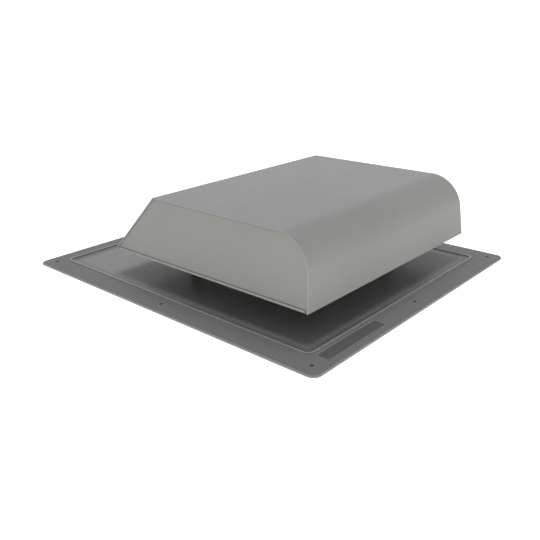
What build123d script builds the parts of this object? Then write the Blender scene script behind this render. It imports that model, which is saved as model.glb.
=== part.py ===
from build123d import *
import math
import os

# Slant-back roof louver in folded and drawn aluminium sheet, in millimetres.
# +Z is up, the nose of the hood looks along -Y (down the roof) and the slanted back along +Y.
# The origin is the middle of the flashing, on the roof.

# Flashing: one drawn sheet with a turned-down rim
base_width = 400.0
base_length = 456.0
base_sheet = 0.8
base_corner_radius = 9.5
rim_height = 2.5
rim_bend = 0.9

# Nail holes, four at the corners and four at the middles of the sides
nail_hole_diameter = 4.0
nail_inset = 16.0

# Stiffening bead pressed up round the flashing, measured from the outer edges to its crest
bead_side_inset = 29.0
bead_front_inset = 29.5
bead_back_inset = 22.0
bead_width = 4.4
bead_crest_width = 1.4
bead_height = 1.2
bead_corner_radius = 8.0

# Bare plate recess pressed into the front flange
recess_length = 98.0
recess_width = 14.5
recess_depth = 0.6
recess_corner_radius = 2.0
recess_offset_x = -117.0
recess_front_gap = 10.5

# Throat: the hole over the roof opening, with its drawn collar and outward lip
throat_radius = 101.6
throat_offset_y = -36.0
collar_height = 25.0
collar_foot = 5.0
collar_lip_width = 4.0

# Hood outline
hood_sheet = 0.6
hood_height = 109.5
hood_clearance = 36.0
hood_top_width = 300.7
hood_bottom_width = 317.0
hood_front_y = -186.6
hood_back_y = 113.3
hood_top_back_y = 44.3
front_lean_degrees = 5.5
nose_radius = 40.0
back_bend_radius = 2.4

# Lock seam between the hood's wrap and its side panels, and the folded lower edges
seam_stand = 1.2
seam_gap = 0.05
side_hem_height = 3.0
side_hem_end_gap = 1.2
lower_flange_width = 8.0

# Cross braces inside the hood
brace_sheet = 1.0
brace_width = 20.0
brace_flange_height = 8.0
brace_tab_height = 16.0
brace_level = 62.0

# Legs between the flashing and the braces, each held by a tongue folded over in a slot
leg_sheet = 1.2
leg_width = 20.0
leg_foot = 20.0
leg_offset_x = 84.0
leg_throat_gap = 2.0
leg_bend_radius = 1.6
tongue_width = 10.0
tongue_reach = 8.0
tongue_inset = 5.0
slot_fit = 0.1

# Rivets
rivet_diameter = 4.0
rivet_fit = 0.1
rivet_head_diameter = 8.0
rivet_head_height = 1.6
rivet_crown_diameter = 4.6
rivet_tail_diameter = 6.0
rivet_tail_height = 1.1

# Insect screen and the ring that clips it to the collar
screen_sheet = 0.8
screen_edge_gap = 0.4
screen_pitch = 20.0
screen_wire = 2.8
screen_margin = 5.0
ring_sheet = 0.6
ring_fit = 0.15
ring_flange_width = 7.0
ring_lip_width = 1.6

# Sizes that follow from the values above
half_width = base_width / 2
half_length = base_length / 2
pan_underside = rim_height - base_sheet
nail_x = half_width - nail_inset
nail_y = half_length - nail_inset

hood_rise = hood_height - hood_clearance
flank_spread = (hood_bottom_width - hood_top_width) / 2
flank_angle = math.degrees(math.atan2(flank_spread, hood_rise))
back_run_per_rise = (hood_back_y - hood_top_back_y) / hood_rise
front_run_per_rise = math.tan(math.radians(front_lean_degrees))

# Depths below the hood's skin at which the layers of the lock seam begin and end
seam_slot_top = hood_sheet
seam_slot_bottom = 2 * hood_sheet + 2 * seam_gap
seam_depth = seam_slot_bottom + hood_sheet
panel_top = seam_slot_top + seam_gap
panel_outer = seam_stand + seam_gap
panel_inner = panel_outer + hood_sheet

# Cutting bodies reach this far past what they cut
overshoot = 20.0

bead_slope = math.atan2(bead_height, (bead_width - bead_crest_width) / 2)
bead_miter = base_sheet * math.tan(bead_slope / 2)

collar_outer = throat_radius + base_sheet
foot_circle = collar_outer + collar_foot
foot_miter = base_sheet * math.tan(math.radians(45) / 2)
collar_top = rim_height + collar_height
lip_underside = collar_top - base_sheet
lip_outer = throat_radius + collar_lip_width

# The legs' uprights stand just clear of the collar's foot
leg_inner_x = leg_offset_x - leg_width / 2
leg_offset_y = math.sqrt(foot_circle**2 - leg_inner_x**2) + leg_throat_gap
brace_offset_y = leg_offset_y + brace_width / 2
brace_places = {"front": throat_offset_y - brace_offset_y, "back": throat_offset_y + brace_offset_y}

# Each riser stands under its brace's floor, tongue_inset from the edge that faces the throat,
# and its foot is riveted at the middle
riser_offset = brace_width / 2 - tongue_inset - leg_sheet / 2
rivet_offset_y = brace_offset_y - riser_offset + (leg_foot - leg_sheet) / 2
rivet_places = [
    (x, throat_offset_y + y)
    for x in (-leg_offset_x, leg_offset_x)
    for y in (-rivet_offset_y, rivet_offset_y)
]
rivet_hole_radius = (rivet_diameter + rivet_fit) / 2
screen_top = collar_top + screen_sheet

# The hood's lower edges are cut open from a little below them
under_edge = hood_clearance - overshoot / 4

os.makedirs("parts", exist_ok=True)


def flank_plane(side, inset):
    """The plane of one flared flank of the hood, its normal outwards, moved in by inset."""
    slope = math.radians(flank_angle)
    normal = Vector(side * math.cos(slope), 0, math.sin(slope))
    edge = Vector(side * hood_top_width / 2, 0, hood_height)
    return Plane(origin=edge - normal * inset, x_dir=(0, 1, 0), z_dir=normal)


def between_flanks(inset, low, high, middle_y, depth):
    """A level block across the hood, ending on both flank planes moved in by inset."""
    with BuildPart() as block:
        with BuildSketch(Plane.XY.offset(low)):
            with Locations((0, middle_y)):
                Rectangle(hood_bottom_width + overshoot, depth)
        extrude(amount=high - low)
        for side in (-1, 1):
            split(bisect_by=flank_plane(side, inset), keep=Keep.BOTTOM)
    return block.part


def hood_middle(inset):
    """Everything between the two flank planes moved in by inset."""
    return between_flanks(inset, 0, hood_height + overshoot, 0, base_length)


def hood_envelope(skin, flank, floor=hood_clearance):
    """The hood's outline as a solid, its back, top, nose and front moved in by skin and its
    flanks by flank, and cut level at floor."""
    tail = hood_clearance - overshoot
    back_y = hood_back_y + back_run_per_rise * overshoot
    front_y = hood_front_y - front_run_per_rise * overshoot
    nose_y = hood_front_y + front_run_per_rise * hood_rise
    with BuildPart() as envelope:
        with BuildSketch(Plane.YZ) as outline:
            with BuildLine():
                Polyline(
                    (back_y, tail),
                    (hood_top_back_y, hood_height),
                    (nose_y, hood_height),
                    (front_y, tail),
                    close=True,
                )
            make_face()
            if skin:
                offset(amount=-skin, kind=Kind.INTERSECTION)
            ridge = outline.vertices().group_by(Axis.Y)[-1].sort_by(Axis.X)
            fillet(ridge[0], nose_radius - skin)
            ridge = outline.vertices().group_by(Axis.Y)[-1].sort_by(Axis.X)
            if skin < back_bend_radius:
                fillet(ridge[-1], back_bend_radius - skin)
        extrude(amount=hood_bottom_width, both=True)
        for side in (-1, 1):
            split(bisect_by=flank_plane(side, flank), keep=Keep.BOTTOM)
        split(bisect_by=Plane.XY.offset(floor), keep=Keep.TOP)
    return envelope.part


def rivet(grip):
    """A rivet through sheets of a total thickness grip, the seat of its head at z = 0."""
    shank = rivet_diameter / 2
    tail = rivet_tail_diameter / 2
    with BuildPart() as body:
        with BuildSketch(Plane.XZ):
            with BuildLine():
                Polyline(
                    (0, rivet_head_height),
                    (rivet_crown_diameter / 2, rivet_head_height),
                    (rivet_head_diameter / 2, 0),
                    (shank, 0),
                    (shank, -grip),
                    (tail, -grip),
                    (tail, -grip - rivet_tail_height),
                    (0, -grip - rivet_tail_height),
                    close=True,
                )
            make_face()
        revolve(axis=Axis.Z)
    return body.part


# Flashing: rim, pan, bead, plate recess, throat collar and nail holes
bead_length = base_length - bead_front_inset - bead_back_inset
bead_middle_y = (bead_front_inset - bead_back_inset) / 2
with BuildSketch(Plane.XY.offset(rim_height)) as bead_loop:
    with Locations((0, bead_middle_y)):
        RectangleRounded(base_width - 2 * bead_side_inset, bead_length, bead_corner_radius)
bead_path = bead_loop.sketch.face().outer_wire()
bead_start = bead_path % 0
bead_plane = Plane(origin=bead_path @ 0, x_dir=Vector(0, 0, 1).cross(bead_start), z_dir=bead_start)


def bead_section(miter, drop):
    """The bead's crest profile, moved down by drop and narrowed by miter at each corner."""
    foot = bead_width / 2 - miter
    top = bead_crest_width / 2 - miter
    with BuildSketch(bead_plane) as section:
        with BuildLine():
            Polyline(
                (-foot, -drop),
                (-top, bead_height - drop),
                (top, bead_height - drop),
                (foot, -drop),
                (foot, -drop - base_sheet / 2),
                (-foot, -drop - base_sheet / 2),
                close=True,
            )
        make_face()
    return section.sketch


recess_y = -half_length + recess_front_gap + recess_width / 2
nail_points = [(x, y) for x in (-nail_x, 0, nail_x) for y in (-nail_y, 0, nail_y) if (x, y) != (0, 0)]

with BuildPart() as base_flashing:
    with BuildSketch():
        RectangleRounded(base_width, base_length, base_corner_radius)
    extrude(amount=rim_height)
    chamfer(base_flashing.edges().group_by(Axis.Z)[-1], rim_bend)
    with BuildSketch():
        RectangleRounded(
            base_width - 2 * base_sheet, base_length - 2 * base_sheet, base_corner_radius - base_sheet
        )
    extrude(amount=pan_underside, mode=Mode.SUBTRACT)
    sweep(sections=bead_section(0, 0), path=bead_path)
    sweep(sections=bead_section(bead_miter, base_sheet), path=bead_path, mode=Mode.SUBTRACT)
    with BuildSketch(Plane.XY.offset(pan_underside - recess_depth)):
        with Locations((recess_offset_x, recess_y)):
            RectangleRounded(
                recess_length + 2 * base_sheet,
                recess_width + 2 * base_sheet,
                recess_corner_radius + base_sheet,
            )
    extrude(amount=recess_depth + base_sheet / 2)
    with BuildSketch(Plane.XY.offset(rim_height)):
        with Locations((recess_offset_x, recess_y)):
            RectangleRounded(recess_length, recess_width, recess_corner_radius)
    extrude(amount=-recess_depth, mode=Mode.SUBTRACT)
    with BuildSketch():
        with Locations((0, throat_offset_y)):
            Circle(foot_circle)
    extrude(amount=rim_height, mode=Mode.SUBTRACT)
    with BuildSketch(Plane.XZ.offset(-throat_offset_y)):
        with BuildLine():
            Polyline(
                (foot_circle, rim_height),
                (collar_outer, rim_height + collar_foot),
                (collar_outer, lip_underside),
                (lip_outer, lip_underside),
                (lip_outer, collar_top),
                (throat_radius, collar_top),
                (throat_radius, rim_height + collar_foot - foot_miter),
                (foot_circle - foot_miter, pan_underside),
                (foot_circle, pan_underside),
                close=True,
            )
        make_face()
    revolve(axis=Axis((0, throat_offset_y, 0), (0, 0, 1)))
    with BuildSketch():
        with Locations(*nail_points):
            Circle(nail_hole_diameter / 2)
        with Locations(*rivet_places):
            Circle(rivet_hole_radius)
    extrude(amount=rim_height, mode=Mode.SUBTRACT)
base_flashing.part.label = "base_flashing"
export_step(base_flashing.part, "parts/base_flashing.step")


# Hood wrap: slanted back, top, nose and front in one bent sheet, its long edges folded
# round the side panels' flanges, and its two lower edges turned in
seam_slot = (
    hood_envelope(seam_slot_top, hood_sheet, under_edge)
    - hood_envelope(seam_slot_bottom, -overshoot, under_edge)
    - hood_middle(seam_stand)
)
seam_relief = hood_envelope(seam_depth, -overshoot, under_edge) - hood_middle(seam_stand)
panel_relief = hood_envelope(hood_sheet, seam_stand, under_edge) - hood_middle(panel_inner + seam_gap)

with BuildPart() as hood_wrap:
    add(hood_envelope(0, 0))
    add(hood_envelope(hood_sheet, seam_stand, hood_clearance + hood_sheet), mode=Mode.SUBTRACT)
    add(hood_envelope(lower_flange_width, seam_stand, under_edge), mode=Mode.SUBTRACT)
    add(panel_relief, mode=Mode.SUBTRACT)
    add(seam_relief, mode=Mode.SUBTRACT)
    add(seam_slot, mode=Mode.SUBTRACT)
hood_wrap.part.label = "hood_wrap"
export_step(hood_wrap.part, "parts/hood_wrap.step")


# Side panels: a flat plate with a flange turned out into the lock seam and a hem folded out
# and up along the lower edge
with BuildPart() as side_hem:
    add(hood_envelope(seam_depth + side_hem_end_gap, panel_outer - hood_sheet))
    add(hood_middle(panel_outer), mode=Mode.SUBTRACT)
    split(bisect_by=Plane.XY.offset(hood_clearance + side_hem_height), keep=Keep.BOTTOM)

with BuildPart() as side_panel_right:
    add(hood_envelope(panel_top, panel_top))
    add(hood_middle(panel_inner), mode=Mode.SUBTRACT)
    add(
        hood_envelope(panel_top + hood_sheet, -overshoot, under_edge) - hood_middle(panel_outer),
        mode=Mode.SUBTRACT,
    )
    add(side_hem.part)
    split(bisect_by=Plane.YZ, keep=Keep.TOP)
side_panel_right.part.label = "side_panel_right"
export_step(side_panel_right.part, "parts/side_panel_right.step")

with BuildPart() as side_panel_left:
    mirror(side_panel_right.part, about=Plane.YZ)
side_panel_left.part.label = "side_panel_left"
export_step(side_panel_left.part, "parts/side_panel_left.step")


# Cross braces: shallow channels between the side panels, with upturned end tabs
for place, middle_y in brace_places.items():
    tab_top = brace_level + brace_tab_height
    trough_width = brace_width - 2 * brace_sheet
    with BuildPart() as brace:
        add(between_flanks(panel_inner, brace_level, tab_top, middle_y, brace_width))
        add(
            between_flanks(
                panel_inner + brace_sheet, brace_level + brace_sheet, tab_top, middle_y, trough_width
            ),
            mode=Mode.SUBTRACT,
        )
        add(
            between_flanks(
                panel_inner + brace_sheet,
                brace_level + brace_flange_height,
                tab_top,
                middle_y,
                brace_width + overshoot,
            ),
            mode=Mode.SUBTRACT,
        )
        slot_y = middle_y - math.copysign(riser_offset, middle_y - throat_offset_y)
        with BuildSketch(Plane.XY.offset(brace_level)):
            with Locations((-leg_offset_x, slot_y), (leg_offset_x, slot_y)):
                Rectangle(tongue_width + slot_fit, leg_sheet + slot_fit)
        extrude(amount=brace_sheet, mode=Mode.SUBTRACT)
    brace.part.label = f"brace_{place}"
    export_step(brace.part, f"parts/brace_{place}.step")


# Legs: strips bent to an L, their feet on the pan, their shoulders under the braces and a
# tongue at the top that passes through the brace's slot and is folded over on its floor
for side_name, leg_x in (("left", -leg_offset_x), ("right", leg_offset_x)):
    for place, middle_y in brace_places.items():
        outwards_y = 1 if place == "back" else -1
        riser_y = middle_y - outwards_y * (riser_offset + leg_sheet / 2)
        floor_top = brace_level + brace_sheet
        with BuildPart() as leg:
            with BuildSketch(Plane.YZ.offset(leg_x - leg_width / 2)):
                with BuildLine():
                    FilletPolyline(
                        (riser_y + outwards_y * leg_foot, rim_height),
                        (riser_y, rim_height),
                        (riser_y, brace_level),
                        radius=leg_bend_radius,
                    )
                    offset(amount=leg_sheet, side=Side.RIGHT if place == "back" else Side.LEFT)
                make_face()
            extrude(amount=leg_width)
            with BuildSketch(Plane.YZ.offset(leg_x - tongue_width / 2)):
                with BuildLine():
                    Polyline(
                        (riser_y, brace_level),
                        (riser_y, floor_top + leg_sheet),
                        (riser_y + outwards_y * tongue_reach, floor_top + leg_sheet),
                        (riser_y + outwards_y * tongue_reach, floor_top),
                        (riser_y + outwards_y * leg_sheet, floor_top),
                        (riser_y + outwards_y * leg_sheet, brace_level),
                        close=True,
                    )
                make_face()
            extrude(amount=tongue_width)
            with BuildSketch(Plane.XY):
                with Locations((leg_x, throat_offset_y + outwards_y * rivet_offset_y)):
                    Circle(rivet_hole_radius)
            extrude(amount=brace_level / 2, mode=Mode.SUBTRACT)
        leg.part.label = f"leg_{place}_{side_name}"
        export_step(leg.part, f"parts/leg_{place}_{side_name}.step")


# Rivets through the legs' feet and the flashing
with BuildPart() as base_rivets:
    with Locations(*[(x, y, rim_height + leg_sheet) for x, y in rivet_places]):
        add(rivet(base_sheet + leg_sheet))
base_rivets.part.label = "base_rivets"
export_step(base_rivets.part, "parts/base_rivets.step")


# Insect screen over the collar, its mesh as a square grid of wires and gaps
screen_gap = screen_pitch - screen_wire
screen_reach = throat_radius - screen_margin
screen_steps = range(-math.floor(screen_reach / screen_pitch), math.floor(screen_reach / screen_pitch) + 1)
gap_places = [
    (column * screen_pitch, throat_offset_y + row * screen_pitch)
    for column in screen_steps
    for row in screen_steps
    if math.hypot(abs(column) * screen_pitch + screen_gap / 2, abs(row) * screen_pitch + screen_gap / 2)
    < screen_reach
]

with BuildPart() as insect_screen:
    with BuildSketch(Plane.XY.offset(collar_top)):
        with Locations((0, throat_offset_y)):
            Circle(lip_outer - screen_edge_gap)
        with Locations(*gap_places):
            Rectangle(screen_gap, screen_gap, mode=Mode.SUBTRACT)
    extrude(amount=screen_sheet)
insect_screen.part.label = "insect_screen"
export_step(insect_screen.part, "parts/insect_screen.step")


# Screen ring: a rolled channel that holds the screen's edge down and grips the collar's lip
ring_inner = lip_outer + ring_fit
ring_outer = ring_inner + ring_sheet
ring_top = screen_top + ring_sheet
ring_lip = lip_underside - ring_fit

with BuildPart() as screen_ring:
    with BuildSketch(Plane.XZ.offset(-throat_offset_y)):
        with BuildLine():
            Polyline(
                (ring_outer - ring_flange_width, screen_top),
                (ring_inner, screen_top),
                (ring_inner, ring_lip),
                (ring_inner - ring_lip_width, ring_lip),
                (ring_inner - ring_lip_width, ring_lip - ring_sheet),
                (ring_outer, ring_lip - ring_sheet),
                (ring_outer, ring_top),
                (ring_outer - ring_flange_width, ring_top),
                close=True,
            )
        make_face()
    revolve(axis=Axis((0, throat_offset_y, 0), (0, 0, 1)))
screen_ring.part.label = "screen_ring"
export_step(screen_ring.part, "parts/screen_ring.step")
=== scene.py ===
"""Slant-back roof louver: its painted sheet, woven screen, rivets and studio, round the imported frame.

Lengths are in metres. The nose of the hood looks along -Y and the slanted back along +Y.
"""

import math

import bmesh
import bpy
import numpy as np
from mathutils import Matrix, Vector


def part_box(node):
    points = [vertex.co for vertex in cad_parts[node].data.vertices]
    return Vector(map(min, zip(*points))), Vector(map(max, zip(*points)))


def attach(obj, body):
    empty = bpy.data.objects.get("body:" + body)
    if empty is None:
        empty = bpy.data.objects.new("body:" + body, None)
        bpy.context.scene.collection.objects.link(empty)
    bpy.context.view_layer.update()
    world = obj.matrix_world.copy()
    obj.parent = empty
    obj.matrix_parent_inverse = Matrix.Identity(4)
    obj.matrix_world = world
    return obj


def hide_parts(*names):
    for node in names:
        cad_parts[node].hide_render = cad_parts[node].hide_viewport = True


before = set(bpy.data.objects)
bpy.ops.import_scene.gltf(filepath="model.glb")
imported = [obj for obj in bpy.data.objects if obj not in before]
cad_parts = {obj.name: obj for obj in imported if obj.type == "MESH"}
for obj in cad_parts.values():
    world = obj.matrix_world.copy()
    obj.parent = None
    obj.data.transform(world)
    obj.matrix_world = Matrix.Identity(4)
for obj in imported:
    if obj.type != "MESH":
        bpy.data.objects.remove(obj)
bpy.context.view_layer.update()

bl_info = {
    "name": "Roof louver",
    "version": (1, 0, 0),
    "blender": (4, 5, 0),
    "location": "3D View > Sidebar > Louver",
    "description": "Builds the sheet metal, finishes and studio of a slant-back roof louver",
    "category": "Object",
}

MM = 0.001
FLASHING_LOW, FLASHING_HIGH = (Vector(corner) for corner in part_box("base_flashing"))
HOOD_LOW, HOOD_HIGH = (Vector(corner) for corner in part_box("hood_wrap"))
SCREEN_LOW, SCREEN_HIGH = (Vector(corner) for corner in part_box("insect_screen"))

# The louver's middle line is the frame's Y axis, and its throat stands under the screen
THROAT_Y = (SCREEN_LOW.y + SCREEN_HIGH.y) / 2


def length(name, description, millimetres, **more):
    """A length property with its default given in millimetres."""
    return bpy.props.FloatProperty(
        name=name, description=description, default=millimetres * MM, unit="LENGTH", min=0, precision=5, **more
    )


def share(name, description, default):
    """A plain number from 0 to 1."""
    return bpy.props.FloatProperty(
        name=name, description=description, default=default, min=0, max=1, subtype="FACTOR"
    )


def colour(name, description, default):
    """A linear colour."""
    return bpy.props.FloatVectorProperty(
        name=name, description=description, default=default, size=3, min=0, max=1, subtype="COLOR"
    )


def strength(name, description, default):
    """A light's strength."""
    return bpy.props.FloatProperty(name=name, description=description, default=default, min=0)


class LouverHoodSizes(bpy.types.PropertyGroup):
    """Sizes of the folded hood."""

    sheet: length("Sheet", "Thickness of the hood's sheet", 0.6)
    top_width: length("Top width", "Width of the hood across its top", 300.7)
    top_back_y: length("Top's end", "Where the top meets the slanted back", 44.3)
    nose_radius: length("Nose radius", "Outer radius of the rounded nose", 40)
    back_radius: length("Back radius", "Outer radius of the bend above the slanted back", 2.4)
    lean: bpy.props.FloatProperty(
        name="Lean", description="How far the front leans back", default=math.radians(5.5), subtype="ANGLE"
    )
    seam_depth: length("Seam depth", "Depth of the lock seam below the hood's skin", 1.9)
    seam_stand: length("Seam stand", "How far the lock seam stands out from the side panels", 1.2)
    seam_round: length("Seam rounding", "Outer radius of the seam's folds", 0.6)
    seam_gap: length("Seam gap", "Room between the layers of the lock seam", 0.05)
    hem_height: length("Hem height", "Height of the side panels' folded lower edge", 3)
    hem_gap: length("Hem gap", "Room between the hem and its plate", 0.44)
    flange_width: length("Lower flange", "Width of the turned-in lower edges", 8)


class LouverFlashingSizes(bpy.types.PropertyGroup):
    """Sizes of the drawn flashing."""

    sheet: length("Sheet", "Thickness of the flashing's sheet", 0.8)
    pan_height: length("Pan height", "Height of the flashing's top face over the roof", 2.5)
    corner_radius: length("Corner radius", "Radius of the flashing's corners", 9.5)
    rim_radius: length("Rim radius", "Outer radius of the turned-down rim", 1.1)
    bead_side: length("Bead at the sides", "From the side edges to the bead's crest", 29)
    bead_front: length("Bead at the front", "From the front edge to the bead's crest", 29.5)
    bead_back: length("Bead at the back", "From the back edge to the bead's crest", 22)
    bead_width: length("Bead width", "Width of the stiffening bead", 4.4)
    bead_crest: length("Bead crest", "Width of the bead's level crest", 1.6)
    bead_height: length("Bead height", "Height of the stiffening bead", 1.2)
    bead_radius: length("Bead corner", "Radius of the bead's corners", 8)
    nail_inset: length("Nail inset", "From the edges to the nail holes", 16)
    nail_radius: length("Nail radius", "Radius of the nail holes", 2)
    plate_length: length("Plate length", "Length of the bare plate recess", 98)
    plate_width: length("Plate width", "Width of the bare plate recess", 14.5)
    plate_depth: length("Plate depth", "Depth of the bare plate recess", 0.6)
    plate_radius: length("Plate corner", "Corner radius of the bare plate recess", 2)
    plate_offset: bpy.props.FloatProperty(
        name="Plate offset", description="From the middle line to the recess", default=-117 * MM, unit="LENGTH"
    )
    plate_gap: length("Plate gap", "From the front edge to the recess", 10.5)
    throat_radius: length("Throat radius", "Inner radius of the collar", 101.6)
    foot_radius: length("Collar foot", "Radius of the bend at the collar's foot", 5)
    lip_width: length("Collar lip", "Width of the collar's outward lip", 4)
    lip_radius: length("Collar lip bend", "Inner radius of the bend under the collar's lip", 0.6)


class LouverSmallSizes(bpy.types.PropertyGroup):
    """Sizes of the screen and the rivets."""

    wire_pitch: length("Mesh", "Distance between the screen's wires", 4.2)
    wire_radius: length("Wire radius", "Radius of a screen wire", 0.19)
    rivet_head: length("Rivet head", "Radius of a rivet's head", 4)
    rivet_crown: length("Rivet crown", "Height of a rivet's head", 1.6)
    rivet_shank: length("Rivet shank", "Radius of a rivet's shank", 2)
    rivet_tail: length("Rivet tail", "Radius of a rivet's set tail", 3)
    rivet_tail_height: length("Rivet tail height", "Height of a rivet's set tail", 1.1)


class LouverFinishes(bpy.types.PropertyGroup):
    """Colours and gloss of the louver and its studio."""

    hood: colour("Hood paint", "Satin warm grey of the hood", (0.240, 0.243, 0.222))
    # The top's neutral tint is painted sheen: a copy of the hood's paint for the light that the level top reflects
    top_sheen: colour("Hood top", "Neutral grey of the hood's level top", (0.240, 0.240, 0.241))
    hood_roughness: share("Hood roughness", "Roughness of the hood's paint", 0.46)
    flashing: colour("Flashing paint", "Dark grey of the flashing", (0.184, 0.185, 0.183))
    pan_roughness: share("Pan roughness", "Roughness of the flashing inside its bead", 0.30)
    flange_roughness: share("Flange roughness", "Roughness of the grained flange", 0.55)
    plate: colour("Plate recess", "Smooth dark paint of the bare plate recess", (0.110, 0.119, 0.111))
    strips: colour("Strips", "Dark paint of the folded strips inside", (0.072, 0.073, 0.071))
    metal: colour("Bare metal", "Bare aluminium of the screen", (0.62, 0.62, 0.63))
    floor: share("Floor", "Paleness of the floor", 0.95)
    glow: strength("Glow", "Light that the floor gives by itself, as a light table does", 1.4)
    zenith: strength("Zenith", "Strength of the surroundings straight above", 0.3)
    horizon: strength("Horizon", "Strength of the surroundings all round", 0.8)
    overhead: strength("Overhead lamp", "Power of the soft lamp overhead, in watts", 8.8)


class Shade:
    """One output socket. Arithmetic on it adds Math nodes to its tree."""

    def __init__(self, bench, socket):
        self.bench = bench
        self.socket = socket

    def maths(self, operation, *values, clamp=False):
        return self.bench.node("Math", {"operation": operation, "use_clamp": clamp}, dict(enumerate(values)))

    def __add__(self, other):
        return self.maths("ADD", self, other)

    def __sub__(self, other):
        return self.maths("SUBTRACT", self, other)

    def __rsub__(self, other):
        return self.maths("SUBTRACT", other, self)

    def __mul__(self, other):
        return self.maths("MULTIPLY", self, other)

    __radd__ = __add__
    __rmul__ = __mul__

    def within(self, low, high):
        """0 at low and 1 at high, smooth in between."""
        settings = {"interpolation_type": "SMOOTHSTEP"}
        return self.bench.node("MapRange", settings, {0: self, 1: low, 2: high, 3: 0.0, 4: 1.0})


class Bench:
    """A material's or world's node tree with everything but its output node taken away."""

    def __init__(self, owner):
        owner.use_nodes = True
        self.owner = owner
        self.tree = owner.node_tree
        self.tree.nodes.clear()

    def node(self, kind, settings=None, sockets=None, output=0):
        """Adds a shader node: its settings first, then values or links for its sockets."""
        made = self.tree.nodes.new("ShaderNode" + kind)
        for name, value in (settings or {}).items():
            setattr(made, name, value)
        for key, value in (sockets or {}).items():
            if isinstance(value, Shade):
                self.tree.links.new(value.socket, made.inputs[key])
            elif value is not None:
                made.inputs[key].default_value = value
        return Shade(self, made.outputs[output]) if made.outputs else None

    def end(self, kind, shade):
        self.node(kind, {}, {"Surface": shade})
        return self.owner

    def place(self):
        return self.node("TexCoord", output="Object")

    def noise(self, scale, detail=3.0, roughness=0.5, stretch=None):
        """Noise on the object's own coordinates, scale in cycles a metre."""
        where = self.place()
        if stretch:
            where = self.node("Mapping", {}, {"Vector": where, "Scale": stretch})
        return self.node("TexNoise", {}, {"Vector": where, "Scale": scale, "Detail": detail, "Roughness": roughness})

    def mark(self, name):
        """A value that the mesh carries at its points."""
        return self.node("Attribute", {"attribute_name": name}, output="Fac")

    def blend(self, factor, first, second):
        """A colour between two colours."""
        return self.node("Mix", {"data_type": "RGBA"}, {0: factor, 6: first, 7: second}, output=2)

    def bump(self, height, distance):
        """A normal from a height between 0 and 1, with the distance in metres that 1 stands for."""
        return self.node("Bump", {}, {"Height": height, "Distance": distance, "Strength": 1.0})


def tone(colour_value, times):
    """A colour made lighter or darker, with its alpha."""
    return (*[min(1.0, channel * times) for channel in colour_value], 1.0)


def hood_paint(finishes):
    """Satin paint: faint clouding, a fine orange peel, a more neutral tint on the level top as painted
    sheen, a painted highlight on the folds, which are a little less rough too, and painted shade in the creases."""
    bench = Bench(bpy.data.materials.new("satin_hood"))
    cloud = bench.noise(9, 4) * 0.75 + bench.noise(240, 3, 0.6) * 0.25
    peel = bench.noise(900, 2)
    fold_highlight = bench.mark("fold_highlight")
    base = bench.blend(cloud.within(0.35, 0.65), tone(finishes.hood, 0.965), tone(finishes.hood, 1.035))
    # Painted sheen: the level top takes a more neutral copy of the hood's paint
    level = bench.blend(cloud.within(0.35, 0.65), tone(finishes.top_sheen, 0.96), tone(finishes.top_sheen, 1.04))
    base = bench.blend(bench.mark("level"), base, level)
    # Painted highlight: the folds are blended towards a lighter copy of the hood's paint
    base = bench.blend(fold_highlight * 0.5, base, tone(finishes.hood, 1.6))
    # Painted shade: the creases under the seams are darkened
    base = bench.blend(bench.mark("crease_shade") * 0.6, base, tone(finishes.hood, 0.3))
    gloss = finishes.hood_roughness + (cloud - 0.5) * 0.06 - fold_highlight * 0.1
    normal = bench.bump(peel, 0.00002)
    sockets = {"Base Color": base, "Roughness": gloss, "Normal": normal, "Specular IOR Level": 0.3}
    return bench.end("OutputMaterial", bench.node("BsdfPrincipled", {}, sockets))


def flashing_paint(finishes):
    """Dark paint: smooth inside the bead, grained and matter outside it, a painted highlight on the bead's
    crest and the rim, a little less rough there, painted shade at the bead's inner foot, and darker in the plate
    recess."""
    bench = Bench(bpy.data.materials.new("grained_flashing"))
    grain = bench.mark("grain")
    crest = bench.mark("crest")
    plate = bench.mark("plate")
    cloud = bench.noise(16, 4)
    speckle = bench.noise(760, 4, 0.65)
    dust = bench.noise(260, 3, 0.6)
    paint = finishes.flashing
    smooth = bench.blend(cloud.within(0.35, 0.65), tone(paint, 1.13), tone(paint, 1.22))
    rough = bench.blend(speckle.within(0.32, 0.68), tone(paint, 0.72), tone(paint, 1.24))
    base = bench.blend(grain, smooth, rough)
    # Painted highlight on the bead's crest, the rim's turn and the plate recess's shoulder
    base = bench.blend(crest, base, tone(paint, 2.2))
    # Painted shade at the bead's inner foot and on the plate recess's wall
    base = bench.blend(bench.mark("crease_shade") * 0.8, base, tone(paint, 0.25))
    base = bench.blend(plate, base, tone(finishes.plate, 1.0))
    gloss = finishes.pan_roughness + grain * (finishes.flange_roughness - finishes.pan_roughness)
    gloss = gloss + (dust - 0.5) * 0.08 - crest * 0.1
    normal = bench.bump(speckle * grain * (1 - crest) + dust * 0.2, 0.00003)
    sockets = {"Base Color": base, "Roughness": gloss, "Normal": normal, "Specular IOR Level": 0.12}
    return bench.end("OutputMaterial", bench.node("BsdfPrincipled", {}, sockets))


def strip_paint(finishes):
    """The dark paint of the folded strips inside, with scuffs drawn along the sheet."""
    bench = Bench(bpy.data.materials.new("scuffed_strips"))
    drawn = bench.noise(400, 3, 0.6, stretch=(0.15, 1.0, 1.0))
    cloud = bench.noise(30, 3)
    base = bench.blend(drawn.within(0.35, 0.7), tone(finishes.strips, 0.85), tone(finishes.strips, 1.2))
    gloss = 0.4 + (cloud - 0.5) * 0.12
    normal = bench.bump(drawn, 0.00003)
    paint = bench.node("BsdfPrincipled", {}, {"Base Color": base, "Roughness": gloss, "Normal": normal})
    return bench.end("OutputMaterial", paint)


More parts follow.
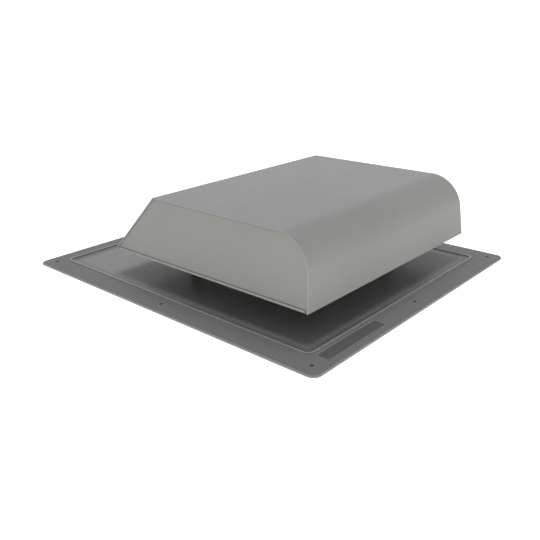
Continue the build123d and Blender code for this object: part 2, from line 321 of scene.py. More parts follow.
def bare_metal(finishes, name, scale, roughness):
    """Bare aluminium with a drawn grain and dull oxide spots."""
    bench = Bench(bpy.data.materials.new(name))
    drawn = bench.noise(scale, 3, 0.6, stretch=(0.2, 1.0, 1.0))
    oxide = bench.noise(scale / 5, 4, 0.6)
    base = bench.blend(oxide.within(0.45, 0.75), tone(finishes.metal, 1.0), tone(finishes.metal, 0.7))
    gloss = roughness + (drawn - 0.5) * 0.16
    normal = bench.bump(drawn, 0.00002)
    sockets = {"Base Color": base, "Metallic": 1.0, "Roughness": gloss, "Normal": normal}
    return bench.end("OutputMaterial", bench.node("BsdfPrincipled", {}, sockets))


def grid_faces(rows, columns, closed=False):
    """Quads of a grid of points numbered row by row. A closed grid joins its last column to its first."""
    number = np.arange(rows * columns).reshape(rows, columns)
    if closed:
        number = np.hstack([number, number[:, :1]])
    corners = number[:-1, :-1], number[:-1, 1:], number[1:, 1:], number[1:, :-1]
    return np.stack([corner.ravel() for corner in corners], axis=1)


def mesh_piece(name, points, faces, material, marks=None, sharp_from=35.0):
    """A smooth-shaded object from an array of points and a list of faces, riding on the root.

    marks are values at the points that the material reads, and edges whose faces turn by more than
    sharp_from degrees stay sharp.
    """
    mesh = bpy.data.meshes.new(name)
    places = np.asarray(points, float).reshape(-1, 3).tolist()
    mesh.from_pydata(places, [], [list(map(int, face)) for face in faces])
    for mark, values in (marks or {}).items():
        carried = mesh.attributes.new(mark, "FLOAT", "POINT").data
        carried.foreach_set("value", np.asarray(values, np.float32).ravel())
    mesh.materials.append(material)
    mesh.shade_smooth()
    mesh.set_sharp_from_angle(angle=math.radians(sharp_from))
    mesh.validate()
    piece = bpy.data.objects.new(name, mesh)
    bpy.context.scene.collection.objects.link(piece)
    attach(piece, "root")
    return piece


def thicken(piece, sheet):
    """Gives a surface the thickness of its sheet, behind its faces."""
    solid = piece.modifiers.new("sheet", "SOLIDIFY")
    solid.thickness = sheet
    solid.offset = -1
    solid.use_even_offset = True
    solid.use_quality_normals = True
    return piece


def wear(node, material):
    """Gives a CAD node its material."""
    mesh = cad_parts[node].data
    mesh.materials.clear()
    mesh.materials.append(material)


def turn(start, end, count):
    """Angles in degrees from start to end, as radians."""
    return np.radians(np.linspace(start, end, count))


class HoodForm:
    """The hood's outer surface, as a function of a station along its profile and of two depths.

    A station runs from the front's lower edge up over the nose, along the top and down the
    slanted back. skin is a depth below that outline, flank a depth in from the flared side plane.
    """

    straight, nose_steps, top_steps, bend_steps = 14, 41, 24, 9

    def __init__(self, sizes):
        self.sizes = sizes
        rise = HOOD_HIGH.z - HOOD_LOW.z
        self.flare = math.atan2(HOOD_HIGH.x - sizes.top_width / 2, rise)
        self.back_slope = math.atan2(HOOD_HIGH.y - sizes.top_back_y, rise)
        self.front_y = HOOD_LOW.y

    def half_width(self, z, flank):
        """Half the top's width, plus the flare's run for the height below the top, less the depth."""
        run = (HOOD_HIGH.z - z) * math.tan(self.flare)
        return self.sizes.top_width / 2 + run - flank / math.cos(self.flare)

    def outline(self, skin):
        """Points (y, z) of the profile, moved in by each value of skin along the outline's normal.

        The front and the back are straight lines cut level at the hood's foot, the nose and the bend
        above the back are arcs whose radius is less by skin, and the top is level.
        """
        s = self.sizes
        skin = np.atleast_1d(np.asarray(skin, float))[:, None]
        lean = s.lean
        top = HOOD_HIGH.z
        # The front line meets the top at this y, and the arcs touch both of their lines
        ridge = self.front_y + math.tan(lean) * (top - HOOD_LOW.z)
        nose_turn = math.pi / 2 - lean
        nose_y = ridge + s.nose_radius * math.tan(nose_turn / 2)
        nose_z = top - s.nose_radius
        bend_turn = math.pi / 2 - self.back_slope
        bend_y = s.top_back_y - s.back_radius * math.tan(bend_turn / 2)
        bend_z = top - s.back_radius
        nose = np.linspace(math.pi - lean, math.pi / 2, self.nose_steps)
        bend = np.linspace(math.pi / 2, math.pi / 2 - bend_turn, self.bend_steps)

        def arc(y, z, radius, angle):
            return np.stack([y + radius * np.cos(angle), z + radius * np.sin(angle)], -1)

        nose_line = arc(nose_y, nose_z, s.nose_radius - skin, nose)
        bend_line = arc(bend_y, bend_z, s.back_radius - skin, bend)

        def foot(start, slope):
            drop = start[..., 1] - HOOD_LOW.z
            return np.stack([start[..., 0] + drop * slope, np.full_like(drop, HOOD_LOW.z)], -1)

        front_foot = foot(nose_line[:, 0], -math.tan(lean))
        back_foot = foot(bend_line[:, -1], math.tan(self.back_slope))

        def run(first, last, count):
            step = np.linspace(0, 1, count)[None, :, None]
            return first[:, None] * (1 - step) + last[:, None] * step

        front = run(front_foot, nose_line[:, 0], self.straight)[:, :-1]
        flat = run(nose_line[:, -1], bend_line[:, 0], self.top_steps)[:, 1:-1]
        back = run(bend_line[:, -1], back_foot, self.straight)[:, 1:]
        return np.concatenate([front, nose_line, flat, bend_line, back], axis=1)

    def points(self, side, skin, flank):
        """Each pair of depths carried along the whole profile: y and z from the outline at that
        skin depth, x from the flared plane at that height."""
        line = self.outline(skin)
        flank = np.asarray(flank, float)[:, None]
        x = side * self.half_width(line[..., 1], flank)
        return np.concatenate([x[..., None], line], axis=-1)


def corner_arc(centre, radius, start, end, count=5):
    """Points of an arc in the plane of (flank, skin) depths."""
    angle = turn(start, end, count)
    return np.stack([centre[0] + radius * np.cos(angle), centre[1] + radius * np.sin(angle)], -1)


class LOUVER_OT_hood(bpy.types.Operator):
    """Builds the hood's wrap: one sheet over nose, top and back, its edges folded into lock seams"""

    bl_idname = "louver.hood"
    bl_label = "Hood wrap"

    # Points across the sheet between its seams
    across = 25

    def execute(self, context):
        s = context.scene.louver_hood
        form = HoodForm(s)
        sheet, depth, stand, bend = s.sheet, s.seam_depth, s.seam_stand, s.seam_round
        inner_bend = bend / 3
        slot_low = depth - sheet
        # One seam as a walk through (flank, skin) depths: over the outer fold, round the returned
        # layer's end, and back through the slot that holds the side panel's flange
        seam = np.concatenate([
            corner_arc((bend, bend), bend, 270, 180),
            corner_arc((bend, depth - bend), bend, 180, 90),
            corner_arc((stand - inner_bend, depth - inner_bend), inner_bend, 90, 0, 3),
            corner_arc((stand - inner_bend, slot_low + inner_bend), inner_bend, 0, -90, 3),
            corner_arc((sheet + inner_bend, slot_low - inner_bend), inner_bend, 90, 180, 3),
            corner_arc((sheet + inner_bend, sheet + inner_bend), inner_bend, 180, 270, 3),
        ])
        # Painted highlight round the outer fold, with a little less roughness: exp(-2 * square of the distance from
        # it, in fold radii)
        fold_highlight = np.exp(-((seam[:, 1] / bend - 0.3) ** 2 + (seam[:, 0] / bend - 0.3) ** 2) * 2)
        # Across the middle the sheet is two rows of points, outer and inner, between the seams
        steps = np.linspace(1, -1, self.across)[:, None]
        level_run = np.ones((self.across, 2))
        plain = np.zeros(self.across)
        outer_edge = form.points(1, [0.0], [stand * 2])[0]
        inner_edge = form.points(1, [sheet], [stand * 2])[0]
        mirror = np.array([-1.0, 1.0, 1.0])
        outer = outer_edge[None] * np.hstack([steps, level_run])[:, None]
        inner = inner_edge[None] * np.hstack([-steps, level_run])[:, None]
        right = form.points(1, seam[:, 1], seam[:, 0])
        loop = np.concatenate([right[::-1], outer, right * mirror, inner])
        marks = np.concatenate([fold_highlight[::-1], plain, fold_highlight, plain])
        loops, stations = loop.shape[:2]
        grid = loop.transpose(1, 0, 2)
        faces = [tuple(face[::-1]) for face in grid_faces(stations, loops, closed=True)]
        last = (stations - 1) * loops
        faces += [tuple(range(loops)), tuple(range(last, last + loops))[::-1]]
        points = grid.reshape(-1, 3)
        values = np.tile(marks, stations)
        # Where the top's painted sheen shows: 1 on the level top, down to 0 where the sheet has bent 8 mm below it
        below_top = HOOD_HIGH.z - form.outline([0.0])[0, :, 1]
        level = np.repeat(np.clip(1 - below_top / (8 * MM), 0, 1), loops)
        for end in (0, -1):
            strip, strip_faces = lower_flange(form, end)
            faces += [tuple(int(n) + len(points) for n in face) for face in strip_faces]
            points = np.concatenate([points, strip])
            values = np.concatenate([values, np.zeros(len(strip))])
            level = np.concatenate([level, np.zeros(len(strip))])
        paint = bpy.data.materials["satin_hood"]
        piece = mesh_piece("hood_sheet", points, faces, paint, {"fold_highlight": values, "level": level})
        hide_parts("hood_wrap")
        return {"FINISHED"}


def lower_flange(form, end):
    """A turned-in lower edge: a thin closed strip with a rounded tip, level just above the floor.

    Its section is a walk of (inwards, up) offsets from the outline's foot, carried from one seam
    to the other in a straight line.
    """
    s = form.sizes
    lift = 0.00002
    foot_y = form.outline([s.sheet / 2])[0, end, 0]
    inwards = 1 if end == 0 else -1
    tip = corner_arc((s.flange_width - s.sheet / 2, s.sheet / 2), s.sheet / 2, -90, 90, 7)
    section = np.concatenate([[[0, 0]], tip, [[0, s.sheet]]])
    x = np.linspace(-1, 1, 9) * (form.half_width(HOOD_LOW.z, s.seam_stand) - s.seam_gap)
    y = foot_y + inwards * section[:, 0]
    z = HOOD_LOW.z + lift + section[:, 1]
    points = np.stack(np.broadcast_arrays(x[:, None], y[None], z[None]), -1)
    count = len(section)
    faces = [tuple(face) for face in grid_faces(9, count, closed=True)]
    faces += [tuple(range(count))[::-1], tuple(range(8 * count, 9 * count))]
    if inwards < 0:
        faces = [face[::-1] for face in faces]
    return points.reshape(-1, 3), faces


class LOUVER_OT_side_panels(bpy.types.Operator):
    """Builds both side panels: a flange in the lock seam, a flat plate and a hem folded outwards"""

    bl_idname = "louver.side_panels"
    bl_label = "Side panels"

    def execute(self, context):
        s = context.scene.louver_hood
        form = HoodForm(s)
        plate = s.seam_stand + s.seam_gap
        under = s.seam_depth - s.sheet - s.seam_gap
        bend = s.sheet / 2
        # The flange in the slot and the bend down to the plate, in (flank, skin) depths
        flange = np.concatenate([
            [[s.sheet + s.seam_gap + bend / 2, under]],
            corner_arc((plate - bend, under + bend), bend, 270, 360, 5),
        ])
        folded = form.points(1, flange[:, 1], flange[:, 0])
        edge = folded[-1]
        # Below it the plate runs straight down to the lower edge, its stations spread evenly there
        walked = np.concatenate([[0], np.cumsum(np.linalg.norm(np.diff(edge[:, 1:], axis=0), axis=1))])
        share_along = walked / walked[-1]
        hem_bend = s.hem_gap / 2
        hem_z = HOOD_LOW.z + s.sheet + hem_bend + 0.05 * MM
        low_y = edge[0, 1] + share_along * (edge[-1, 1] - edge[0, 1])
        lower = np.stack([np.full_like(low_y, form.half_width(hem_z, plate)), low_y, np.full_like(low_y, hem_z)], -1)
        # A row close to each bend keeps the plate's shading flat up to it
        step = np.concatenate([[0.004, 0.013, 0.02], np.linspace(0, 1, 13)[1:-1], [0.996, 1]])[:, None, None]
        body = edge[None] * (1 - step) + lower[None] * step
        # The hem turns out round a tight arc and comes up again, short of both seams
        short = s.seam_depth + 1.2 * MM
        middle = low_y.mean()
        drawn = middle + (low_y - middle) * (1 - short / (low_y[-1] - low_y[0]) * 2)
        turned = turn(0, -180, 7)[1:]
        out = np.concatenate([hem_bend * (1 - np.cos(turned)), [s.hem_gap]])
        up = np.concatenate([hem_bend * np.sin(turned), [HOOD_LOW.z + s.hem_height - hem_z]])
        hem = np.stack(np.broadcast_arrays(
            form.half_width(hem_z + up[:, None], plate) + out[:, None], drawn[None], hem_z + up[:, None],
        ), -1)
        sheet_rows = np.concatenate([folded, body, hem])
        rows, columns = sheet_rows.shape[:2]
        faces = grid_faces(rows, columns)
        paint = bpy.data.materials["satin_hood"]
        # A painted highlight on the hem, a little less rough there, and painted shade in the crease under the seam,
        # but not on the slanted back
        fold_highlight = np.zeros((rows, columns))
        fold_highlight[-4:] = 0.5
        crease_shade = np.zeros((rows, columns))
        crease_shade[len(folded) - 1:len(folded) + 2, :1 - form.straight] = 1.0
        for side, name in ((1, "right"), (-1, "left")):
            points = sheet_rows * np.array([side, 1.0, 1.0])
            ordered = faces[:, ::-1] if side > 0 else faces
            piece = mesh_piece(f"side_sheet_{name}", points, ordered, paint, {"fold_highlight": fold_highlight, "crease_shade": crease_shade})
            thicken(piece, s.sheet)
            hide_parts(f"side_panel_{name}")
        return {"FINISHED"}


def rounded_loop(half_x, half_y, radius, middle_y, side_steps, corner_steps):
    """A closed rounded rectangle, the same number of points on each side and corner whatever its
    size: corner arcs of equal angles, and equal steps along the straights between them."""
    pieces = []
    for quarter, (sx, sy) in enumerate(((1, 1), (-1, 1), (-1, -1), (1, -1))):
        angle = turn(quarter * 90, quarter * 90 + 90, corner_steps + 1)
        centre = np.array([sx * (half_x - radius), sy * (half_y - radius)])
        pieces.append(centre + radius * np.stack([np.cos(angle), np.sin(angle)], -1))
    loop = []
    for quarter in range(4):
        here, there = pieces[quarter], pieces[(quarter + 1) % 4]
        count = side_steps[quarter % 2]
        step = np.linspace(0, 1, count + 1)[1:-1, None]
        loop += [here, here[-1] * (1 - step) + there[0] * step]
    return np.concatenate(loop) + np.array([0, middle_y])


def nearest_on_rounded(points, centre, half_x, half_y, radius):
    """The nearest point of a rounded rectangle: clip each point to the rectangle's core, then go
    one radius from there towards the point."""
    core = np.clip(points - centre, [radius - half_x, radius - half_y], [half_x - radius, half_y - radius])
    away = points - centre - core
    return centre + core + radius * away / np.linalg.norm(away, axis=1, keepdims=True)


def block_round(flat, rows, centre, half_x, half_y, margin):
    """The smallest block of grid cells that clears an opening by a margin on every side.

    Returns its first and last row and column. flat holds the grid's (x, y) points.
    """
    reach_x, reach_y = half_x + margin, half_y + margin
    offset = np.abs(flat[rows[0]:rows[1]] - centre)
    inside = (offset[..., 0] < reach_x) & (offset[..., 1] < reach_y)
    used_rows = np.flatnonzero(inside.any(axis=1)) + rows[0]
    used_columns = np.flatnonzero(inside.any(axis=0))
    spread = flat.shape[1]
    if used_columns[-1] - used_columns[0] > spread / 2:
        used_columns = np.where(used_columns < spread / 2, used_columns + spread, used_columns)
    low_row = max(rows[0], used_rows.min() - 1) if len(used_rows) else rows[0]
    high_row = min(rows[1] - 1, used_rows.max() + 1)
    return low_row, high_row, used_columns.min() - 1, used_columns.max() + 1


class LOUVER_OT_flashing(bpy.types.Operator):
    """Builds the flashing: rim, grained flange, nail holes, bare plate, bead, pan and collar"""

    bl_idname = "louver.flashing"
    bl_label = "Flashing"

    # Steps along the loops' sides and corners, and from loop to loop over each part of the sheet
    side_steps = (88, 100)
    corner_steps = 12
    flange_steps = 11
    bead_loops = 19
    pan_steps = 11
    # Room between an opening's edge and the grid cells that are left round it
    block_margin = 0.0009

    def loop(self, s, inset, grow):
        """A level loop round the flashing: inset from the outer edges, or grow out from the
        bead's crest where inset is None."""
        half_x, half_y = FLASHING_HIGH.x, FLASHING_HIGH.y
        if inset is not None:
            sizes = half_x - inset, half_y - inset, s.corner_radius - inset, 0.0
        else:
            middle = (s.bead_front - s.bead_back) / 2
            length_y = half_y - (s.bead_front + s.bead_back) / 2
            sizes = half_x - s.bead_side + grow, length_y + grow, s.bead_radius + grow, middle
        return rounded_loop(*sizes, self.side_steps, self.corner_steps)

    def execute(self, context):
        s = context.scene.louver_flashing
        top = s.pan_height
        bead = s.bead_width / 2
        loops, heights, grain, crest, crease_shade = [], [], [], [], []

        def add(flat, z, grained, painted_highlight=0.0, dark=0.0):
            loops.append(flat)
            heights.append(np.full(len(flat), z))
            grain.append(np.full(len(flat), grained))
            crest.append(np.full(len(flat), painted_highlight))
            crease_shade.append(np.full(len(flat), dark))

        # Rim: straight up from the roof, then a quarter turn onto the flange, with a painted highlight along the turn
        add(self.loop(s, 0.0, 0), 0.0, 1.0)
        for angle in turn(0, 90, 7):
            inset = s.rim_radius * (1 - math.cos(angle))
            painted_highlight = 0.3 * math.sin(2 * angle)
            add(self.loop(s, inset, 0), top - s.rim_radius * (1 - math.sin(angle)), 1.0, painted_highlight)
        rim, foot = self.loop(s, s.rim_radius, 0), self.loop(s, None, bead)
        flange_start = len(loops) - 1
        for step in np.linspace(0, 1, self.flange_steps + 1)[1:-1]:
            add(rim * (1 - step) + foot * step, top, 1.0)
        # Bead: up a smooth S from each foot to a level crest, t * t * (3 - 2 * t) of its height, the crest with a
        # painted highlight. out is 1 at its outer foot and -1 at its inner one, where the crease has painted shade
        for out in np.linspace(1, -1, self.bead_loops):
            t = min(1.0, (1 - abs(out)) / (1 - s.bead_crest / s.bead_width))
            painted_highlight = max(0.0, 1 - (out * s.bead_width / s.bead_crest) ** 4)
            grained = float(np.clip(0.5 + out * 2.5, 0, 1))
            # Painted shade in the crease at the bead's inner foot
            dark = math.exp(-((out + 0.85) / 0.3) ** 2)
            height = top + s.bead_height * t * t * (3 - 2 * t)
            add(self.loop(s, None, bead * out), height, grained, painted_highlight, dark)
        flange_end = flange_start + self.flange_steps + 1
        # Pan: straight spokes from the bead to the collar's foot
        spoke = loops[-1] - np.array([0, THROAT_Y])
        spoke = spoke / np.linalg.norm(spoke, axis=1, keepdims=True)
        collar = s.throat_radius + s.sheet

        def ring(radius):
            return spoke * radius + np.array([0, THROAT_Y])

        bead_line, collar_line = loops[-1], ring(collar + s.foot_radius)
        for step in np.linspace(0, 1, self.pan_steps + 1)[1:]:
            add(bead_line * (1 - step) + collar_line * step, top, 0.0)
        # Collar: a quarter turn up, the wall, a quarter turn out and the underside of the lip
        for angle in turn(0, 90, 8)[1:]:
            radius = collar + s.foot_radius * (1 - math.sin(angle))
            add(ring(radius), top + s.foot_radius * (1 - math.cos(angle)), 0.0)
        lip_z = FLASHING_HIGH.z - s.sheet
        for angle in turn(0, 90, 6):
            radius = collar + s.lip_radius * (1 - math.cos(angle))
            add(ring(radius), lip_z - s.lip_radius * (1 - math.sin(angle)), 0.0)
        add(ring(s.throat_radius + s.lip_width), lip_z, 0.0)

        flat = np.stack(loops)
        rows, columns = flat.shape[:2]
        points = np.concatenate([flat, np.stack(heights)[..., None]], -1).reshape(-1, 3)
        # Marks at the points: grain, the painted highlight, the painted shade and plate
        carried = [np.stack(value).ravel() for value in (grain, crest, crease_shade)]
        marks = np.stack([*carried, np.zeros(rows * columns)], -1)
        keep = np.ones((rows - 1, columns), bool)
        extra_faces = []
        nail_x, nail_y = FLASHING_HIGH.x - s.nail_inset, FLASHING_HIGH.y - s.nail_inset
        openings = [
            (np.array([x, y]), s.nail_radius, s.nail_radius, s.nail_radius, 0.0)
            for x in (-nail_x, 0, nail_x) for y in (-nail_y, 0, nail_y) if (x, y) != (0, 0)
        ]
        plate_y = FLASHING_LOW.y + s.plate_gap + s.plate_width / 2
        openings.append((
            np.array([s.plate_offset, plate_y]), s.plate_length / 2, s.plate_width / 2, s.plate_radius, s.plate_depth,
        ))
        for centre, half_x, half_y, radius, depth in openings:
            low, high, left, right = block_round(
                flat, (flange_start, flange_end + 1), centre, half_x, half_y, self.block_margin
            )
            across = np.arange(left, right + 1)
            down = np.arange(low, high + 1)
            keep[low:high, across[:-1] % columns] = False
            walk = np.concatenate([
                low * columns + across[:-1] % columns,
                down[:-1] * columns + right % columns,
                high * columns + across[:0:-1] % columns,
                down[:0:-1] * columns + left % columns,
            ])
            border = points[walk]
            # Each opening is a few rings inside its block: shrink is how far a ring lies inside
            # the opening's edge, drop how far below the flange, and the rest are its four marks: grain, painted
            # highlight, painted shade and plate
            rings = [(-0.00015, 0.0, 1.0, 0.0, 0.0, 0.0), (0.0, 0.00005, 1.0, 0.0, 0.0, 0.0)]
            if depth:
                rings = [
                    (-0.0008, 0.0, 1.0, 0.0, 0.0, 0.0), (-0.0003, 0.05 * depth, 0.6, 0.6, 0.0, 0.0),
                    (0.0002, 0.85 * depth, 0.2, 0.2, 0.3, 0.6), (0.0006, depth, 0.0, 0.0, 0.0, 1.0),
                ]
            previous = walk
            for shrink, drop, *marked in rings:
                corner = radius - min(shrink, radius / 2)
                edge = nearest_on_rounded(border[:, :2], centre, half_x - shrink, half_y - shrink, corner)
                start = len(points)
                points = np.concatenate([points, np.column_stack([edge, np.full(len(edge), top - drop)])])
                marks = np.concatenate([marks, np.tile(marked, (len(edge), 1))])
                new = np.arange(start, start + len(edge))
                extra_faces += list(np.stack([previous, np.roll(previous, -1), np.roll(new, -1), new], 1))
                previous = new
            if depth:
                extra_faces.append(previous)
        body = grid_faces(rows, columns, closed=True)[keep.ravel()]
        faces = list(body) + extra_faces
        paint = bpy.data.materials["grained_flashing"]
        named = dict(zip(("grain", "crest", "crease_shade", "plate"), marks.T))
        piece = mesh_piece("flashing_sheet", points, faces, paint, named)
        loose_points_away(piece.data)
        thicken(piece, s.sheet)
        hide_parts("base_flashing")
        return {"FINISHED"}


def loose_points_away(mesh):
    """Takes away points that no face uses."""
    work = bmesh.new()
    work.from_mesh(mesh)
    bmesh.ops.delete(work, geom=[v for v in work.verts if not v.link_faces], context="VERTS")
    work.to_mesh(mesh)
    work.free()


class LOUVER_OT_screen(bpy.types.Operator):
    """Weaves the insect screen over the collar, each wire bending over and under the next"""

    bl_idname = "louver.screen"
    bl_label = "Woven screen"

    def execute(self, context):
        s = context.scene.louver_small
        reach = (SCREEN_HIGH.x - SCREEN_LOW.x) / 2
        middle_z = SCREEN_LOW.z + 2 * s.wire_radius
        count = math.floor((reach - s.wire_pitch / 2) / s.wire_pitch)
        lines = np.arange(-count, count + 1)
        ring = turn(0, 360, 6)[:-1]
        points, faces, start = [], [], 0
        for direction in (0, 1):
            for line in lines:
                half = math.sqrt(reach**2 - (line * s.wire_pitch) ** 2) - s.wire_radius
                along = np.linspace(-half, half, max(4, round(2 * half / s.wire_pitch * 3)))
                # A cosine that is up at one crossing and down at the next, opposite for the other set
                wave = np.cos(np.pi * (along / s.wire_pitch + line + direction)) * s.wire_radius
                offset = np.full_like(along, line * s.wire_pitch)
                centre = np.stack([along, offset] if direction == 0 else [offset, along], -1)
                side = np.array([0.0, 1.0] if direction == 0 else [1.0, 0.0])
                tube = np.empty((len(along), 5, 3))
                tube[..., :2] = centre[:, None] + side * (s.wire_radius * np.cos(ring))[None, :, None]
                tube[..., 2] = middle_z + wave[:, None] + s.wire_radius * np.sin(ring)[None]
                quads = grid_faces(len(along), 5, closed=True)
                ordered = quads[:, ::-1] if direction else quads
                faces += [tuple(face + start) for face in ordered]
                tips = np.arange(5) + start, np.arange(5)[::-1] + start + 5 * (len(along) - 1)
                faces += [tuple(tip if direction else tip[::-1]) for tip in tips]
                points.append(tube.reshape(-1, 3))
                start += 5 * len(along)
        points = np.concatenate(points) + np.array([0, THROAT_Y, 0])
        piece = mesh_piece("woven_screen", points, faces, bpy.data.materials["drawn_wire"], sharp_from=80)
        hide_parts("insect_screen")
        return {"FINISHED"}


class LOUVER_OT_rivets(bpy.types.Operator):
    """Turns the domed rivets through the legs' feet"""

    bl_idname = "louver.rivets"
    bl_label = "Rivets"

    def execute(self, context):
        s = context.scene.louver_small
        low, high = (Vector(corner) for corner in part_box("base_rivets"))
        seat = high.z - s.rivet_crown
        tail = low.z + s.rivet_tail_height
        dome = turn(90, 0, 9)
        soft = 0.25 * MM
        # Half section as (radius, height), turned round each rivet's own axis
        section = np.concatenate([
            np.stack([s.rivet_head * np.cos(dome) + 1e-7, seat + soft + (s.rivet_crown - soft) * np.sin(dome)], -1),
            [[s.rivet_head, seat], [s.rivet_shank, seat], [s.rivet_shank, tail], [s.rivet_tail, tail]],
            [[s.rivet_tail, low.z + soft], [s.rivet_tail - soft, low.z], [1e-7, low.z]],
        ])
        angle = turn(0, 360, 29)[:-1]
        x = section[:, :1] * np.cos(angle)
        y = section[:, :1] * np.sin(angle)
        one = np.stack([x, y, np.broadcast_to(section[:, 1:], x.shape)], -1)
        rows = len(section)
        faces = [tuple(face[::-1]) for face in grid_faces(rows, 28, closed=True)]
        faces += [tuple(range(28)), tuple(range((rows - 1) * 28, rows * 28))[::-1]]
        places = [
            (x_place, y_place)
            for x_place in (low.x + s.rivet_head, high.x - s.rivet_head)
            for y_place in (low.y + s.rivet_head, high.y - s.rivet_head)
        ]
        points, every = [], []
        for number, place in enumerate(places):
            points.append(one.reshape(-1, 3) + np.array([*place, 0.0]))
            every += [tuple(n + number * rows * 28 for n in face) for face in faces]
        piece = mesh_piece("foot_rivets", np.concatenate(points), every, bpy.data.materials["rivet_aluminium"])
        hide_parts("base_rivets")
        return {"FINISHED"}


class LOUVER_OT_strips(bpy.types.Operator):
    """Paints the folded strips inside: braces, legs and the screen's ring"""

    bl_idname = "louver.strips"
    bl_label = "Braces, legs and ring"

    def execute(self, context):
        paint = bpy.data.materials["scuffed_strips"]
        for node in sorted(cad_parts):
            if node.startswith(("brace_", "leg_")) or node == "screen_ring":
                wear(node, paint)
        return {"FINISHED"}


class LOUVER_OT_finishes(bpy.types.Operator):
    """Mixes the paints and metals that the pieces take"""

    bl_idname = "louver.finishes"
    bl_label = "Finishes"

    def execute(self, context):
        finishes = context.scene.louver_finishes
        hood_paint(finishes)
        flashing_paint(finishes)
        strip_paint(finishes)
        bare_metal(finishes, "drawn_wire", 1500, 0.38)
        bare_metal(finishes, "rivet_aluminium", 900, 0.34)
        return {"FINISHED"}


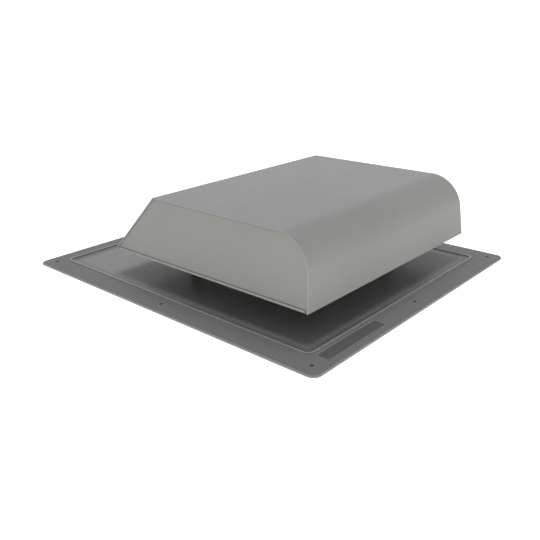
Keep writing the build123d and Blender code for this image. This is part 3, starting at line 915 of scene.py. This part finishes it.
class LOUVER_OT_stage(bpy.types.Operator):
    """Sets the pale floor, the white surroundings, the lamps and the camera"""

    bl_idname = "louver.stage"
    bl_label = "Stage"

    # The photograph's camera: focal length in pixels of a 540 pixel frame, eye, and turns in radians
    frame_pixels = 540
    focal_pixels = 652.662
    eye = (-596.757 * MM, -532.372 * MM, 300.446 * MM)
    yaw, pitch, roll = 0.73032, -0.37338, -0.01620

    lamp_place = (0.0, -0.02, 1.3)
    lamp_size = 0.6
    floor_reach = 6.0

    def camera(self, scene):
        """The view looks along (cos pitch cos yaw, cos pitch sin yaw, sin pitch), rolled about it."""
        forward = Vector((
            math.cos(self.pitch) * math.cos(self.yaw),
            math.cos(self.pitch) * math.sin(self.yaw),
            math.sin(self.pitch),
        ))
        level = Vector((math.sin(self.yaw), -math.cos(self.yaw), 0))
        upright = level.cross(forward)
        right = level * math.cos(self.roll) + upright * math.sin(self.roll)
        up = upright * math.cos(self.roll) - level * math.sin(self.roll)
        view = bpy.data.cameras.new("camera")
        view.sensor_width = 36
        view.lens = self.focal_pixels / self.frame_pixels * view.sensor_width
        view.clip_start = 0.01
        eye = bpy.data.objects.new("camera", view)
        eye.matrix_world = Matrix.Translation(self.eye) @ Matrix((right, up, -forward)).transposed().to_4x4()
        scene.collection.objects.link(eye)
        scene.camera = eye

    def lamp(self, scene, name, place, size, power):
        """A square soft lamp that faces the middle of the louver."""
        light = bpy.data.lights.new(name, "AREA")
        light.size = size
        light.energy = power
        lamp = bpy.data.objects.new(name, light)
        lamp.visible_glossy = False
        lamp.visible_camera = False
        lamp.location = place
        lamp.rotation_euler = (Vector(place) - Vector((0, 0, 0.05))).to_track_quat("Z", "Y").to_euler()
        scene.collection.objects.link(lamp)

    def seen(self, bench):
        """1 for rays from the camera or from a gloss or glass surface, 0 for light on the object."""
        camera, glossy, glass = (
            bench.node("LightPath", output=f"Is {kind} Ray") for kind in ("Camera", "Glossy", "Transmission")
        )
        both = camera + glossy
        return both.maths("ADD", both, glass, clamp=True)

    def execute(self, context):
        scene = context.scene
        finishes = scene.louver_finishes
        scene.view_settings.view_transform = "Standard"
        self.camera(scene)

        # The light falls from the horizon to the zenith with the square of 1 - height
        world = Bench(bpy.data.worlds.new("surroundings"))
        seen = self.seen(world)
        height = world.node("SeparateXYZ", {}, {0: world.node("TexCoord", output="Generated")}, output=2)
        fall = 1 - height.maths("MAXIMUM", height, 0.0)
        light = finishes.zenith + fall * fall * (finishes.horizon - finishes.zenith)
        sky = world.node("Background", {}, {"Color": (1, 1, 1, 1), "Strength": light + seen * (1 - light)})
        scene.world = world.end("OutputWorld", sky)
        self.lamp(scene, "overhead", self.lamp_place, self.lamp_size, finishes.overhead)

        half = self.floor_reach
        corners = [(-half, -half, 0), (half, -half, 0), (half, half, 0), (-half, half, 0)]
        mesh = bpy.data.meshes.new("floor")
        mesh.from_pydata(corners, [], [(0, 1, 2, 3)])
        floor = bpy.data.objects.new("floor", mesh)
        scene.collection.objects.link(floor)
        bench = Bench(bpy.data.materials.new("floor"))
        pale = bench.node("BsdfDiffuse", {}, {"Color": (finishes.floor,) * 3 + (1,)})
        # The floor glows, and where it is seen it has what it lacks to white, but not under the
        # flashing. A surface that faces up gets this much light from the surroundings
        plain = finishes.zenith + (finishes.horizon - finishes.zenith) / 6
        where = bench.place()
        outside = None
        for axis, reach in enumerate((FLASHING_HIGH.x, FLASHING_HIGH.y)):
            along = bench.node("SeparateXYZ", {}, {0: where}, output=axis)
            beyond = along.maths("GREATER_THAN", along.maths("ABSOLUTE", along), reach - 6 * MM)
            outside = beyond if outside is None else outside.maths("MAXIMUM", outside, beyond)
        white = finishes.glow + self.seen(bench) * (1.02 - finishes.floor * plain - finishes.glow)
        # Half the colour at twice the strength, because the blend takes no share above 1
        shown = bench.blend(outside * white * 0.5, (0, 0, 0, 1), (1, 1, 1, 1))
        lift = bench.node("Emission", {}, {"Color": shown, "Strength": 2.0})
        mesh.materials.append(bench.end("OutputMaterial", bench.node("AddShader", {}, {0: pale, 1: lift})))
        return {"FINISHED"}


class LOUVER_PT_panel(bpy.types.Panel):
    """Lists the louver's pieces in the sidebar"""

    bl_idname = "LOUVER_PT_panel"
    bl_label = "Roof louver"
    bl_space_type = "VIEW_3D"
    bl_region_type = "UI"
    bl_category = "Louver"

    def draw(self, context):
        for group in GROUPS:
            settings = getattr(context.scene, group)
            box = self.layout.box()
            for name in settings.__annotations__:
                box.prop(settings, name)
        for step in STEPS:
            self.layout.operator(step.bl_idname)


GROUPS = {
    "louver_hood": LouverHoodSizes,
    "louver_flashing": LouverFlashingSizes,
    "louver_small": LouverSmallSizes,
    "louver_finishes": LouverFinishes,
}
STEPS = (
    LOUVER_OT_finishes,
    LOUVER_OT_flashing,
    LOUVER_OT_hood,
    LOUVER_OT_side_panels,
    LOUVER_OT_screen,
    LOUVER_OT_rivets,
    LOUVER_OT_strips,
    LOUVER_OT_stage,
)


def register():
    for group in (*GROUPS.values(), *STEPS, LOUVER_PT_panel):
        bpy.utils.register_class(group)
    for name, group in GROUPS.items():
        setattr(bpy.types.Scene, name, bpy.props.PointerProperty(type=group))


def unregister():
    for name in GROUPS:
        delattr(bpy.types.Scene, name)
    for group in reversed((*GROUPS.values(), *STEPS, LOUVER_PT_panel)):
        bpy.utils.unregister_class(group)


def main():
    register()
    for step in STEPS:
        area, name = step.bl_idname.split(".")
        getattr(getattr(bpy.ops, area), name)()


if __name__ == "__main__":
    main()
